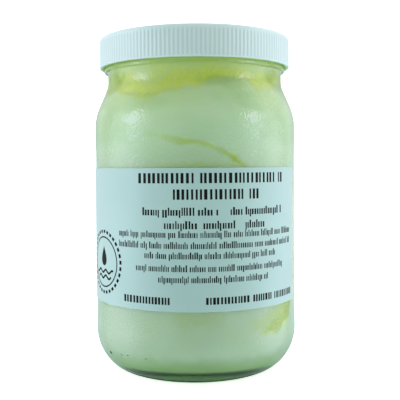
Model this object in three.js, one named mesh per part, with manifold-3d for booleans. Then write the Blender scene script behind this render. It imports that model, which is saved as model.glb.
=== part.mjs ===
// A closed glass jar of plain yogurt: a pale green jar with a rounded heel and shoulder, a ribbed screw cap,
// a paper label, the yogurt itself and the layer of cream that has risen into the neck.
// Millimetres, +Z up. The origin is on the jar's axis, on the surface that the jar stands on.
// The front faces -Y. An angle is counted in degrees from the front, and grows towards +X.

import * as THREE from "three";
import { mergeVertices } from "three/addons/utils/BufferGeometryUtils.js";
import Module from "manifold-3d";

const wasm = await Module();
wasm.setup();

// Driving dimensions of the glass
const BODY_RADIUS = 45.1;         // widest rings, just above the heel and just under the shoulder
const PANEL_RADIUS = 44.95;       // the label panel, set back a little so that the label isn't rubbed
const NECK_RADIUS = 39.2;
const WALL = 2.8;
const STANDING_RADIUS = 31.4;     // outer edge of the ring that the jar stands on
const STANDING_WIDTH = 5.2;
const PUSH_UP = 3.2;              // how far the middle of the base is domed up
const FLOOR_Z = 6.5;              // lowest level of the inside
const FLOOR_DOME = 1.6;           // how far the middle of the inside floor is domed up
const HEEL_HEIGHT = 17.9;
const HEEL_POWER = 1.9;           // 2 would be an ellipse: the heel is slightly flatter than that
const PANEL_Z = [24.5, 95.5];
const UPPER_RING_Z = 101.5;       // start of the ring under the shoulder
const SHOULDER_Z = 107.1;         // where the shoulder leaves the vertical
const SHOULDER_ARC = 23.1;
const SHOULDER_LEAN = 23.1;       // degrees from the vertical, on the shoulder's straight stretch
const NECK_ARC = 9.0;
const RIM_Z = 145.2;
const FINISH_RADIUS = 40.0;       // plain wall inside the cap
const RIM_ROUND = 0.7;

// The bead is the ring of glass just below the cap
const BEAD_RADIUS = 40.7;
const BEAD_Z = [130.8, 133.4];
const BEAD_BAND = 1.3;            // height of its upright face

// The cap
const CAP_RADIUS = 42.8;
const CAP_Z = [133.8, 147.1];
const CAP_TOP_THICKNESS = 1.6;
const CAP_WALL_INNER_RADIUS = 41.5;
const CAP_EDGE_ROUND = 1.5;
const CAP_LIP = 0.7;              // plain band below the ribs
const RIB_COUNT = 150;
const RIB_DEPTH = 0.45;
const RIB_TOP_DROP = 0.9;         // ribs end this far below the top face
const RIB_CREST_SHARE = 0.3;      // share of a rib's pitch that is its flat crest

// The paper label, rolled round the panel
const LABEL_GAP = 0.13;
const LABEL_THICKNESS = 0.18;
const LABEL_Z = [31.9, 89.4];
const LABEL_ANGLES = [-96, 68.4];

// What the jar holds
const FIT_GAP = 0.3;              // between the food and the glass, and between the two layers
const CREAM_TOP_Z = 142.2;
const CREAM_MIDDLE_Z = 122;       // underside of the cream on the axis
// The cream's lower edge at the wall, as angle and height, all the way round
const CREAM_EDGE = [
  [-145, 119.0], [-105, 122.8], [-60, 121.6], [-28, 118.8], [-12, 121.0], [0, 122.0], [12, 125.7],
  [32, 126.0], [42, 121.4], [66, 124.4], [110, 120.4], [150, 124.0], [180, 121.5],
];

// Fineness of the round shapes
const JAR_SEGMENTS = 48;
const FOOD_SEGMENTS = 48;
const CAP_SEGMENTS = 60;

const degrees = (angle) => THREE.MathUtils.degToRad(angle);

// Points of a profile are (distance from the axis, height)
function arc(centreR, centreZ, radius, fromAngle, toAngle, steps) {
  const points = [];
  for (let i = 0; i <= steps; i += 1) {
    const angle = degrees(fromAngle + ((toAngle - fromAngle) * i) / steps);
    points.push([centreR + radius * Math.cos(angle), centreZ + radius * Math.sin(angle)]);
  }
  return points;
}

// Quarter of a superellipse, from its lowest point at r = innerR to its upright end at r = outerR
function heelCurve(innerR, outerR, lowZ, height, steps) {
  const points = [];
  for (let i = 0; i <= steps; i += 1) {
    const angle = (Math.PI / 2) * (1 - i / steps);
    const across = Math.cos(angle) ** (2 / HEEL_POWER);
    const down = Math.sin(angle) ** (2 / HEEL_POWER);
    points.push([innerR + (outerR - innerR) * across, lowZ + height * (1 - down)]);
  }
  return points;
}

// A shallow dome in section: part of a circle, from the axis out to its edge
function domeCurve(edgeR, edgeZ, rise, steps) {
  const radius = (edgeR ** 2 + rise ** 2) / (2 * rise);
  const points = [];
  for (let i = 0; i <= steps; i += 1) {
    const r = (edgeR * i) / steps;
    points.push([r, edgeZ + rise - radius + Math.sqrt(radius ** 2 - r ** 2)]);
  }
  return points;
}

// A smooth step from one radius to another, upright at both ends
function easeCurve(fromR, fromZ, toR, toZ, steps) {
  const points = [];
  for (let i = 1; i < steps; i += 1) {
    const share = i / steps;
    const eased = (1 - Math.cos(Math.PI * share)) / 2;
    points.push([fromR + (toR - fromR) * eased, fromZ + (toZ - fromZ) * share]);
  }
  return points;
}

// The shoulder: an arc out of the body, a straight lean and an arc into the neck.
// inset moves the whole curve into the glass, parallel to the outside.
function shoulderCurve(inset, steps) {
  const lean = degrees(SHOULDER_LEAN);
  const shoulderCentreR = BODY_RADIUS - SHOULDER_ARC;
  const neckCentreR = NECK_RADIUS + NECK_ARC;
  const arcsDrop = (SHOULDER_ARC + NECK_ARC) * (1 - Math.cos(lean));
  const straightDrop = BODY_RADIUS - NECK_RADIUS - arcsDrop;
  const arcsRise = (SHOULDER_ARC + NECK_ARC) * Math.sin(lean);
  const neckCentreZ = SHOULDER_Z + arcsRise + straightDrop / Math.tan(lean);
  const outer = arc(shoulderCentreR, SHOULDER_Z, SHOULDER_ARC - inset, 0, SHOULDER_LEAN, steps);
  const inner = arc(neckCentreR, neckCentreZ, NECK_ARC + inset, 180 + SHOULDER_LEAN, 180, steps);
  return [...outer, ...inner];
}

// The inside of the jar, from the middle of the floor up into the neck.
// inset moves it in from the glass, for what the jar holds.
function insideCurve(inset) {
  const cornerRadius = STANDING_RADIUS - WALL - inset;
  const bodyRadius = BODY_RADIUS - WALL - inset;
  const floor = domeCurve(cornerRadius, FLOOR_Z + inset, FLOOR_DOME, 2);
  const [, ...corner] = heelCurve(cornerRadius, bodyRadius, FLOOR_Z + inset, HEEL_HEIGHT - WALL, 6);
  return [...floor, ...corner, ...shoulderCurve(WALL + inset, 3)];
}

// A solid of revolution from a profile. Three.js turns it about Y, so it is stood up on Z afterwards:
// its first segment is then at the front.
function revolve(profile, segments) {
  const points = profile.map(([r, z]) => new THREE.Vector2(r, z));
  const geometry = new THREE.LatheGeometry(points, segments);
  geometry.rotateX(Math.PI / 2);
  return geometry;
}

function toManifold(geometry) {
  const bare = geometry.clone();
  bare.deleteAttribute("normal");
  bare.deleteAttribute("uv");
  const merged = mergeVertices(bare, 1e-4);
  const triVerts = [];
  const index = merged.index.array;
  for (let i = 0; i < index.length; i += 3) {
    const corners = [index[i], index[i + 1], index[i + 2]];
    if (new Set(corners).size === 3) {
      triVerts.push(...corners);
    }
  }
  const mesh = new wasm.Mesh({
    numProp: 3,
    vertProperties: new Float32Array(merged.attributes.position.array),
    triVerts: new Uint32Array(triVerts),
  });
  return new wasm.Manifold(mesh);
}

function fromManifold(solid) {
  const mesh = solid.getMesh();
  const geometry = new THREE.BufferGeometry();
  geometry.setAttribute("position", new THREE.BufferAttribute(mesh.vertProperties, 3));
  geometry.setIndex(new THREE.BufferAttribute(mesh.triVerts, 1));
  geometry.computeVertexNormals();
  return geometry;
}

// Glass jar: the outside from the middle of the base up to the rim, then the inside back down
function glassJar() {
  const domeEdge = STANDING_RADIUS - STANDING_WIDTH;
  const beadLow = [NECK_RADIUS, BEAD_Z[0]];
  const beadSide = [BEAD_RADIUS, BEAD_Z[1] - BEAD_BAND];
  const boreRadius = NECK_RADIUS - WALL;
  const profile = [
    ...domeCurve(domeEdge, 0, PUSH_UP, 3),
    ...heelCurve(STANDING_RADIUS, BODY_RADIUS, 0, HEEL_HEIGHT, 8),
    ...easeCurve(BODY_RADIUS, HEEL_HEIGHT, PANEL_RADIUS, PANEL_Z[0], 3),
    [PANEL_RADIUS, PANEL_Z[0]],
    [PANEL_RADIUS, PANEL_Z[1]],
    ...easeCurve(PANEL_RADIUS, PANEL_Z[1], BODY_RADIUS, UPPER_RING_Z, 3),
    [BODY_RADIUS, UPPER_RING_Z],
    ...shoulderCurve(0, 4),
    beadLow,
    ...easeCurve(beadLow[0], beadLow[1], beadSide[0], beadSide[1], 3),
    beadSide,
    [BEAD_RADIUS, BEAD_Z[1]],
    [FINISH_RADIUS, BEAD_Z[1]],
    ...arc(FINISH_RADIUS - RIM_ROUND, RIM_Z - RIM_ROUND, RIM_ROUND, 0, 90, 2),
    ...arc(boreRadius + RIM_ROUND, RIM_Z - RIM_ROUND, RIM_ROUND, 90, 180, 2),
    ...insideCurve(0).reverse(),
  ];
  return revolve(profile, JAR_SEGMENTS);
}

// Height of the cream's lower edge at the wall, eased between the listed places
function creamEdgeAt(angle) {
  const turn = 360;
  const last = CREAM_EDGE[CREAM_EDGE.length - 1];
  let [lowAngle, lowZ] = [last[0] - turn, last[1]];
  for (const [highAngle, highZ] of CREAM_EDGE) {
    if (angle <= highAngle) {
      const share = (angle - lowAngle) / (highAngle - lowAngle);
      const eased = (1 - Math.cos(Math.PI * share)) / 2;
      return lowZ + (highZ - lowZ) * eased;
    }
    [lowAngle, lowZ] = [highAngle, highZ];
  }
  return lowZ;
}

// A block that holds everything above the uneven underside of the cream, let down by drop
function aboveCreamEdge(drop) {
  const neckBore = NECK_RADIUS - WALL;
  const underside = [0, 0.35, 0.7, 1].map((share) => [neckBore * share, CREAM_MIDDLE_Z]);
  const outside = [[BODY_RADIUS, CREAM_MIDDLE_Z], [BODY_RADIUS, RIM_Z], [0, RIM_Z]];
  const block = revolve([...underside, ...outside], FOOD_SEGMENTS);
  const position = block.attributes.position;
  for (let i = 0; i < position.count; i += 1) {
    const [x, y, z] = [position.getX(i), position.getY(i), position.getZ(i)];
    if (z < RIM_Z) {
      const outward = Math.min(1, Math.hypot(x, y) / neckBore);
      const angle = THREE.MathUtils.radToDeg(Math.atan2(x, -y));
      const wave = (creamEdgeAt(angle) - CREAM_MIDDLE_Z) * outward;
      position.setZ(i, z + wave - drop);
    }
  }
  return toManifold(block);
}

// All that the jar holds, clear of the glass, up to its level in the neck
function contents() {
  const boreRadius = NECK_RADIUS - WALL - FIT_GAP;
  const profile = [...insideCurve(FIT_GAP), [boreRadius, CREAM_TOP_Z], [0, CREAM_TOP_Z]];
  return toManifold(revolve(profile, FOOD_SEGMENTS));
}

// Outline of the ribbed band, seen from above: each rib is a crest with sloped flanks
function ribOutline() {
  const pitch = 360 / RIB_COUNT;
  const outline = new THREE.Shape();
  const polar = (radius, angle) => [radius * Math.cos(degrees(angle)), radius * Math.sin(degrees(angle))];
  const valleyRadius = CAP_RADIUS - RIB_DEPTH;
  const halfCrest = (pitch * RIB_CREST_SHARE) / 2;
  outline.moveTo(...polar(valleyRadius, -pitch / 2));
  for (let i = 0; i < RIB_COUNT; i += 1) {
    const middle = pitch * i;
    outline.lineTo(...polar(CAP_RADIUS, middle - halfCrest));
    outline.lineTo(...polar(CAP_RADIUS, middle + halfCrest));
    if (i < RIB_COUNT - 1) {
      outline.lineTo(...polar(valleyRadius, middle + pitch / 2));
    }
  }
  outline.closePath();
  const hole = new THREE.Path();
  hole.absarc(0, 0, (valleyRadius + CAP_WALL_INNER_RADIUS) / 2, 0, Math.PI * 2, true);
  outline.holes.push(hole);
  return outline;
}

// Screw cap: a plain shell with a rounded top edge, joined to the ribbed band
function cap() {
  const shellRadius = CAP_RADIUS - RIB_DEPTH;
  const underside = CAP_Z[1] - CAP_TOP_THICKNESS;
  const edge = arc(shellRadius - CAP_EDGE_ROUND, CAP_Z[1] - CAP_EDGE_ROUND, CAP_EDGE_ROUND, 0, 90, 3);
  const shell = revolve([
    [0, underside],
    [CAP_WALL_INNER_RADIUS, underside],
    [CAP_WALL_INNER_RADIUS, CAP_Z[0]],
    [CAP_RADIUS, CAP_Z[0]],
    [CAP_RADIUS, CAP_Z[0] + CAP_LIP],
    [shellRadius, CAP_Z[0] + CAP_LIP],
    ...edge,
    [0, CAP_Z[1]],
  ], CAP_SEGMENTS);
  const ribLow = CAP_Z[0] + CAP_LIP * 0.5;
  const ribHeight = CAP_Z[1] - RIB_TOP_DROP - ribLow;
  const band = new THREE.ExtrudeGeometry(ribOutline(), {
    depth: ribHeight,
    bevelEnabled: false,
    curveSegments: 24,
  });
  band.translate(0, 0, ribLow);
  return fromManifold(toManifold(shell).add(toManifold(band)));
}

// Label: a band of paper round part of the panel
function label() {
  const inner = PANEL_RADIUS + LABEL_GAP;
  const outer = inner + LABEL_THICKNESS;
  const [start, end] = LABEL_ANGLES.map((angle) => degrees(angle - 90));
  const outline = new THREE.Shape();
  outline.absarc(0, 0, outer, start, end, false);
  outline.absarc(0, 0, inner, end, start, true);
  outline.closePath();
  const band = new THREE.ExtrudeGeometry(outline, {
    depth: LABEL_Z[1] - LABEL_Z[0],
    bevelEnabled: false,
    curveSegments: 16,
  });
  band.translate(0, 0, LABEL_Z[0]);
  return band;
}

function named(name, geometry, settings) {
  const mesh = new THREE.Mesh(geometry, new THREE.MeshStandardMaterial(settings));
  mesh.name = name;
  return mesh;
}

const food = contents();
const yogurt = fromManifold(food.subtract(aboveCreamEdge(FIT_GAP)));
const cream = fromManifold(food.intersect(aboveCreamEdge(0)));

const jarOfYogurt = new THREE.Group();
jarOfYogurt.add(
  named("glass_jar", glassJar(), { color: 0xcfe8d4, roughness: 0.05, opacity: 0.35, transparent: true }),
  named("yogurt", yogurt, { color: 0xd6ead2, roughness: 0.5, metalness: 0 }),
  named("cream_top", cream, { color: 0xc3d27c, roughness: 0.5, metalness: 0 }),
  named("lid", cap(), { color: 0xdfeaf0, roughness: 0.45, metalness: 0 }),
  named("label", label(), { color: 0xd6e8e6, roughness: 0.7, metalness: 0 }),
);

export default jarOfYogurt;
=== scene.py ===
# %% [markdown]
# A jar of plain yogurt
#
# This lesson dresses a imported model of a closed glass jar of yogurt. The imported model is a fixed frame:
# it holds five plain solids at their real size, the jar, the yogurt, the cream on top of it, the screw cap
# and the paper label. Each solid is replaced here by a finer mesh of the same form, with a material made
# from nodes. All sizes are in millimetres, and the last step of each mesh turns them into metres.

# %% Load the frame
import math
import random

import bmesh
import bpy
from mathutils import Matrix, Vector, noise


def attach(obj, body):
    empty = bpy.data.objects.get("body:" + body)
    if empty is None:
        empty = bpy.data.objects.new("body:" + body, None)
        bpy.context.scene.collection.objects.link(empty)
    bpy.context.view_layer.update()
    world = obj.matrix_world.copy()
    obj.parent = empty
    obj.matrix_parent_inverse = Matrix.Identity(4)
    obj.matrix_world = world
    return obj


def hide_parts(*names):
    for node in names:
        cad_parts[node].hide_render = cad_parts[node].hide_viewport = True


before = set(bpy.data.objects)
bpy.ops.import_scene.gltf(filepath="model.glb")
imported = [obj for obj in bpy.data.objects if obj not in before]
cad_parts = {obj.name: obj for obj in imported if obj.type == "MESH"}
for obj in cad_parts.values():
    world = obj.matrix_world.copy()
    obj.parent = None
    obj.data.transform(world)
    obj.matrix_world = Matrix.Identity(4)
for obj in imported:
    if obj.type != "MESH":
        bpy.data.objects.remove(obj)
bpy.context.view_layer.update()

# %% [markdown]
# Four helpers carry the whole lesson. Colours are written as sRGB hex, the way a colour picker shows them,
# but a shader wants linear light, so one function converts them. Another adds a node to a tree, gives it its
# settings and plugs in its links, so that a material reads as a list of what it is made of. The third starts
# an empty material, and the last makes a plain one, whose tone and tooth each follow a noise.

# %% Colour and node helpers
MM = 0.001


def linear(hex_colour):
    """An sRGB hex colour as linear RGBA."""
    channels = [int(hex_colour[i:i + 2], 16) / 255 for i in (1, 3, 5)]
    light = [((c + 0.055) / 1.055) ** 2.4 if c > 0.04045 else c / 12.92 for c in channels]
    return (*light, 1.0)


def add_node(tree, kind, settings=None, links=None):
    """Adds a node. A setting is a property, an input's value or a ramp's stops. A link feeds an input."""
    node = tree.nodes.new(kind)
    for name, value in (settings or {}).items():
        if name == "stops":
            for element, (position, colour) in zip(node.color_ramp.elements, value):
                element.position = position
                element.color = linear(colour)
        elif isinstance(name, int) or name in node.inputs:
            node.inputs[name].default_value = value
        else:
            setattr(node, name, value)
    for name, source in (links or {}).items():
        tree.links.new(source, node.inputs[name])
    return node


def new_material(name):
    """An empty node material, with its output node."""
    material = bpy.data.materials.new(name)
    material.use_nodes = True
    material.node_tree.nodes.clear()
    output = material.node_tree.nodes.new("ShaderNodeOutputMaterial")
    return material, material.node_tree, output


def toned_material(name, patterns, stops, settings):
    """A material whose tone follows a noise, and its tooth a second if given. A noise is (size, detail)."""
    material, tree, output = new_material(name)
    place = add_node(tree, "ShaderNodeTexCoord").outputs["Object"]
    noises = [
        add_node(tree, "ShaderNodeTexNoise", {"Scale": 1 / (size * MM), "Detail": detail}, {"Vector": place})
        for size, detail in patterns
    ]
    tone = add_node(tree, "ShaderNodeValToRGB", {"stops": stops}, {0: noises[0].outputs[0]})
    shader = add_node(tree, "ShaderNodeBsdfPrincipled", settings, {"Base Color": tone.outputs[0]})
    for tooth in noises[1:]:
        bump = add_node(
            tree, "ShaderNodeBump", {"Strength": 0.3, "Distance": 0.02 * MM}, {"Height": tooth.outputs[0]}
        )
        tree.links.new(bump.outputs[0], shader.inputs["Normal"])
    tree.links.new(shader.outputs[0], output.inputs["Surface"])
    return material


print("white in linear light:", linear("#ffffff"))

# %% [markdown]
# The camera comes first, because every other choice is judged through it. The photo was taken from a third
# of a metre away, level with the top of the label, looking down very slightly. The optical centre of the
# picture is not quite in its middle, so the lens is shifted by a few hundredths, as the framing needs.

# %% Camera
PHOTO_PIXELS = 400
FOCAL_PIXELS = 713.6
OPTICAL_CENTRE = (195.2, 185.3)
CAMERA_DISTANCE = 327.3
CAMERA_HEIGHT = 90.4
CAMERA_PITCH = math.radians(1.6)
CAMERA_ROLL = math.radians(-0.39)

camera_data = bpy.data.cameras.new("photo_camera")
camera_data.sensor_width = 36.0
camera_data.lens = FOCAL_PIXELS / PHOTO_PIXELS * camera_data.sensor_width
camera_data.shift_x = 0.5 - OPTICAL_CENTRE[0] / PHOTO_PIXELS
camera_data.shift_y = OPTICAL_CENTRE[1] / PHOTO_PIXELS - 0.5
camera = bpy.data.objects.new("photo_camera", camera_data)
upright = Matrix.Rotation(math.pi / 2 - CAMERA_PITCH, 4, "X") @ Matrix.Rotation(CAMERA_ROLL, 4, "Z")
camera.matrix_world = Matrix.Translation(Vector((0, -CAMERA_DISTANCE, CAMERA_HEIGHT)) * MM) @ upright
bpy.context.scene.collection.objects.link(camera)
bpy.context.scene.camera = camera
print("lens:", round(camera_data.lens, 1), "mm")
print("shift:", round(camera_data.shift_x, 4), round(camera_data.shift_y, 4))

# %% [markdown]
# Next come the sizes. They are the driving dimensions of the jar as it was built, and the curves between
# them are worked out by the same short formulas: arcs for the shoulder, a superellipse for the heel, and a
# cosine ease where one radius runs into another. A drawn outline would do as well, but a formula keeps every
# curve true when a size changes.

# %% Sizes of the jar
BODY_RADIUS = 45.1
PANEL_RADIUS = 44.95
NECK_RADIUS = 39.2
WALL = 2.8
STANDING_RADIUS = 31.4
STANDING_WIDTH = 5.2
STANDING_ROUND = 0.9
PUSH_UP = 3.2
PUSH_UP_EDGE_Z = 0.25
FLOOR_Z = 6.5
FLOOR_DOME = 1.6
HEEL_HEIGHT = 17.9
HEEL_POWER = 1.9
PANEL_Z = (24.5, 95.5)
UPPER_RING_Z = 101.5
SHOULDER_Z = 107.1
SHOULDER_ARC = 23.1
SHOULDER_LEAN = 23.1
NECK_ARC = 9.0
RIM_Z = 145.2
RIM_ROUND = 0.7
FINISH_RADIUS = 40.0
BEAD_RADIUS = 40.7
BEAD_Z = (130.8, 133.4)
BEAD_BAND = 1.3
BEAD_CORNER = 0.2
BEAD_TOP_ROUND = 0.4
# The bead grows out of the neck in steps of (out from the neck, up from the bead's lower corner)
BEAD_STEPS = [(0.0, -0.45), (0.08, -0.25), (0.3, -0.14)]

print("jar:", 2 * BODY_RADIUS, "mm across,", RIM_Z, "mm tall, glass", WALL, "mm thick")

# %% [markdown]
# These are the formulas. Each gives the points of one stretch of a profile, as distances from the axis and
# heights, and the inside of the jar is put together from them, so that the glass and the food share it.

# %% Curves of a profile


def arc(centre_r, centre_z, radius, start, end, steps):
    """Points of an arc in a profile, from one angle in degrees to another."""
    angles = [math.radians(start + (end - start) * i / steps) for i in range(steps + 1)]
    return [(centre_r + radius * math.cos(a), centre_z + radius * math.sin(a)) for a in angles]


def heel_curve(inner_r, outer_r, low_z, height, steps):
    """A quarter of a superellipse, from its lowest point to its upright end."""
    points = []
    for i in range(steps + 1):
        angle = math.pi / 2 * (1 - i / steps)
        across = math.cos(angle) ** (2 / HEEL_POWER) if i else 0.0
        down = math.sin(angle) ** (2 / HEEL_POWER)
        points.append((inner_r + (outer_r - inner_r) * across, low_z + height * (1 - down)))
    return points


def dome_curve(edge_r, edge_z, rise, steps):
    """Part of a circle, from the axis out to the edge of a shallow dome."""
    radius = (edge_r ** 2 + rise ** 2) / (2 * rise)
    distances = [edge_r * i / steps for i in range(steps + 1)]
    return [(r, edge_z + rise - radius + math.sqrt(radius ** 2 - r ** 2)) for r in distances]


def ease_curve(start, end, steps):
    """A smooth step from one radius to another, upright at both ends, without its end points."""
    points = []
    for i in range(1, steps):
        share = i / steps
        eased = (1 - math.cos(math.pi * share)) / 2
        points.append((start[0] + (end[0] - start[0]) * eased, start[1] + (end[1] - start[1]) * share))
    return points


def shoulder_curve(inset, steps):
    """The shoulder, moved into the glass by inset: an arc, a straight lean and an arc into the neck."""
    lean = math.radians(SHOULDER_LEAN)
    arcs = SHOULDER_ARC + NECK_ARC
    straight_drop = BODY_RADIUS - NECK_RADIUS - arcs * (1 - math.cos(lean))
    neck_z = SHOULDER_Z + arcs * math.sin(lean) + straight_drop / math.tan(lean)
    out = arc(BODY_RADIUS - SHOULDER_ARC, SHOULDER_Z, SHOULDER_ARC - inset, 0, SHOULDER_LEAN, steps)
    back = arc(NECK_RADIUS + NECK_ARC, neck_z, NECK_ARC + inset, 180 + SHOULDER_LEAN, 180, steps)
    return out + back


def inside_curve(inset, steps):
    """The inside of the jar from the middle of the floor up into the neck, moved in by inset."""
    corner_r = STANDING_RADIUS - WALL - inset
    body_r = BODY_RADIUS - WALL - inset
    floor_dome = dome_curve(corner_r, FLOOR_Z + inset, FLOOR_DOME, steps // 2)
    corner = heel_curve(corner_r, body_r, FLOOR_Z + inset, HEEL_HEIGHT - WALL, steps)
    return floor_dome + corner[1:] + shoulder_curve(WALL + inset, steps)


print("points up the inside of the glass:", len(inside_curve(0, 12)))

# %% [markdown]
# Round pieces are turned from a profile, as a potter would. Blender has a Screw modifier for that, but rings
# made in code leave room for an edge that waves round the piece, as the cream's does. There is one ring of
# vertices for each profile point, and an end on the axis is closed with a fan of triangles. Smooth shading
# is set by the angle between faces, so that the real edges stay crisp.

# %% Turning a profile
SHARP_ANGLE = math.radians(35)
JAR_SEGMENTS = 192
ON_AXIS = 1e-6


def finish_mesh(name, work, material, sharp=SHARP_ANGLE):
    """Turns a bmesh in millimetres into an object in metres, with its faces pointing out."""
    bmesh.ops.recalc_face_normals(work, faces=work.faces)
    bmesh.ops.scale(work, vec=(MM, MM, MM), verts=work.verts)
    mesh = bpy.data.meshes.new(name)
    work.to_mesh(mesh)
    work.free()
    mesh.materials.append(material)
    piece = bpy.data.objects.new(name, mesh)
    bpy.context.scene.collection.objects.link(piece)
    mesh.shade_smooth()
    mesh.set_sharp_from_angle(angle=sharp)
    print(f"{name}: {len(mesh.vertices)} vertices, {len(mesh.polygons)} faces")
    return piece


def ring_point(r, angle, z):
    """A point at a distance from the axis and an angle in degrees from the front."""
    turn = math.radians(angle)
    return Vector((r * math.sin(turn), -r * math.cos(turn), z))


def turned_rings(work, profile, segments):
    """A ring of vertices for each profile point, and a single vertex for a point on the axis."""
    rings = []
    for r, z in profile:
        if r < ON_AXIS:
            rings.append([work.verts.new((0, 0, z))])
        else:
            rings.append([work.verts.new(ring_point(r, 360 * i / segments, z)) for i in range(segments)])
    return rings


def skin_rings(work, rings):
    """Joins rings of vertices with quads. A ring of one vertex is a point on the axis."""
    for low, high in zip(rings, rings[1:]):
        count = max(len(low), len(high))
        for i in range(count):
            j = (i + 1) % count
            if len(low) == 1:
                work.faces.new((low[0], high[i], high[j]))
            elif len(high) == 1:
                work.faces.new((low[i], low[j], high[0]))
            else:
                work.faces.new((low[i], low[j], high[j], high[i]))


def turn_profile(name, profile, material, segments=JAR_SEGMENTS):
    """A solid of revolution whose profile starts and ends on the axis."""
    work = bmesh.new()
    skin_rings(work, turned_rings(work, profile, segments))
    return finish_mesh(name, work, material)


print("points round the jar:", JAR_SEGMENTS)

# %% [markdown]
# Soda-lime glass, pressed and blown in an iron mould. It is clear with a faint green from iron, which only
# shows where the light crosses a lot of glass. So the green is an absorption inside the volume, and the
# surface is colourless, except at the base: there the light runs the long way through the glass, and a
# green tint by height stands for it. The mould leaves the skin slightly uneven. A low, wide bump makes the
# reflections wander, and a fine ripple, which dies away in the heel, breaks the highlights up.

# %% Jar glass
GLASS_IOR = 1.52
MOULD_WAVE = 14.0
MOULD_WAVE_HEIGHT = 0.25
MOULD_RIPPLE = 1.1
MOULD_RIPPLE_HEIGHT = 0.13
GREEN_BASE_Z = (4.5, 7.5)
RIPPLE_Z = (6.0, 13.0)


def jar_glass():
    material, tree, output = new_material("soda_lime_glass")
    place = add_node(tree, "ShaderNodeTexCoord").outputs["Object"]
    waves, ripple = (
        add_node(tree, "ShaderNodeTexNoise", {"Scale": 1 / (size * MM), "Detail": detail}, {"Vector": place})
        for size, detail in ((MOULD_WAVE, 1.0), (MOULD_RIPPLE, 0.0))
    )
    height = add_node(tree, "ShaderNodeSeparateXYZ", links={0: place}).outputs["Z"]
    above_base, above_heel = (
        add_node(
            tree, "ShaderNodeMapRange",
            {"interpolation_type": "SMOOTHSTEP", "From Min": low_z * MM, "From Max": high_z * MM},
            {"Value": height},
        )
        for low_z, high_z in (GREEN_BASE_Z, RIPPLE_Z)
    )
    low = add_node(
        tree, "ShaderNodeBump", {"Strength": 0.25, "Distance": MOULD_WAVE_HEIGHT * MM},
        {"Height": waves.outputs[0]},
    )
    bump = add_node(
        tree, "ShaderNodeBump", {"Distance": MOULD_RIPPLE_HEIGHT * MM},
        {"Strength": above_heel.outputs[0], "Height": ripple.outputs[0], "Normal": low.outputs[0]},
    )
    tint = add_node(
        tree, "ShaderNodeMix", {"data_type": "RGBA", 6: linear("#c2ee90"), 7: linear("#ffffff")},
        {0: above_base.outputs[0]},
    )
    shader = add_node(
        tree, "ShaderNodeBsdfPrincipled",
        {"Roughness": 0.08, "IOR": GLASS_IOR, "Transmission Weight": 1.0},
        {"Base Color": tint.outputs[2], "Specular Tint": tint.outputs[2], "Normal": bump.outputs[0]},
    )
    depth = add_node(tree, "ShaderNodeVolumeAbsorption", {"Color": linear("#8fc98c"), "Density": 12.0})
    tree.links.new(shader.outputs[0], output.inputs["Surface"])
    tree.links.new(depth.outputs[0], output.inputs["Volume"])
    return material


glass = jar_glass()
print("nodes in the glass:", len(glass.node_tree.nodes))

# %% [markdown]
# The jar is one hollow of revolution, as it comes out of the mould. Its profile runs from the middle of the
# push-up under the base out to the ring that it stands on, up the outside, round the bead and over the rim,
# and then back down the inside. Real thickness matters here, because the glass bends the light twice.

# %% Jar


def jar_profile():
    push_up_edge = STANDING_RADIUS - STANDING_WIDTH
    bore = NECK_RADIUS - WALL
    corner_z = BEAD_Z[1] - BEAD_BAND
    ring_low = (BODY_RADIUS, HEEL_HEIGHT)
    ring_high = (BODY_RADIUS, UPPER_RING_Z)
    panel_low = (PANEL_RADIUS, PANEL_Z[0])
    panel_high = (PANEL_RADIUS, PANEL_Z[1])
    return [
        *dome_curve(push_up_edge, PUSH_UP_EDGE_Z, PUSH_UP - PUSH_UP_EDGE_Z, 12),
        *arc(push_up_edge + STANDING_ROUND, STANDING_ROUND, STANDING_ROUND, 225, 270, 3),
        *heel_curve(STANDING_RADIUS, BODY_RADIUS, 0, HEEL_HEIGHT, 28),
        *ease_curve(ring_low, panel_low, 8),
        panel_low,
        panel_high,
        *ease_curve(panel_high, ring_high, 8),
        ring_high,
        *shoulder_curve(0, 14),
        *((NECK_RADIUS + out, corner_z + up) for out, up in BEAD_STEPS),
        *arc(BEAD_RADIUS - BEAD_CORNER, corner_z, BEAD_CORNER, 290, 360, 4),
        *arc(BEAD_RADIUS - BEAD_TOP_ROUND, BEAD_Z[1] - BEAD_TOP_ROUND, BEAD_TOP_ROUND, 0, 90, 4),
        (FINISH_RADIUS, BEAD_Z[1]),
        *arc(FINISH_RADIUS - RIM_ROUND, RIM_Z - RIM_ROUND, RIM_ROUND, 0, 90, 6),
        *arc(bore + RIM_ROUND, RIM_Z - RIM_ROUND, RIM_ROUND, 90, 180, 6),
        *reversed(inside_curve(0, 14)),
    ]


jar = turn_profile("jar", jar_profile(), glass)
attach(jar, "root")
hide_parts("glass_jar")

# %% [markdown]
# The food comes next. In this jar the milk wasn't homogenised: yellow cream has risen into the neck, and its
# lower edge is ragged. That edge is a list of heights round the wall, eased from one to the next, and both
# the yogurt below it and the cream above it are cut to it.

# %% Where the cream lies
CREAM_TOP_Z = 142.2
CREAM_MIDDLE_Z = 122.0
# Each place on the edge is (angle, height)
CREAM_EDGE = [
    (-145, 119.0), (-105, 122.8), (-60, 121.6), (-28, 118.8), (-12, 121.0), (0, 122.0), (12, 125.7),
    (32, 126.0), (42, 121.4), (66, 124.4), (110, 120.4), (150, 124.0), (180, 121.5),
]


def cream_edge_at(angle):
    """Height of the cream's lower edge at the wall, eased between the listed places."""
    low_angle, low_z = CREAM_EDGE[-1][0] - 360, CREAM_EDGE[-1][1]
    for high_angle, high_z in CREAM_EDGE:
        if angle <= high_angle:
            share = (angle - low_angle) / (high_angle - low_angle)
            return low_z + (high_z - low_z) * (1 - math.cos(math.pi * share)) / 2
        low_angle, low_z = high_angle, high_z
    return low_z


print("cream edge at the front:", round(cream_edge_at(0), 1), "mm up")

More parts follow.
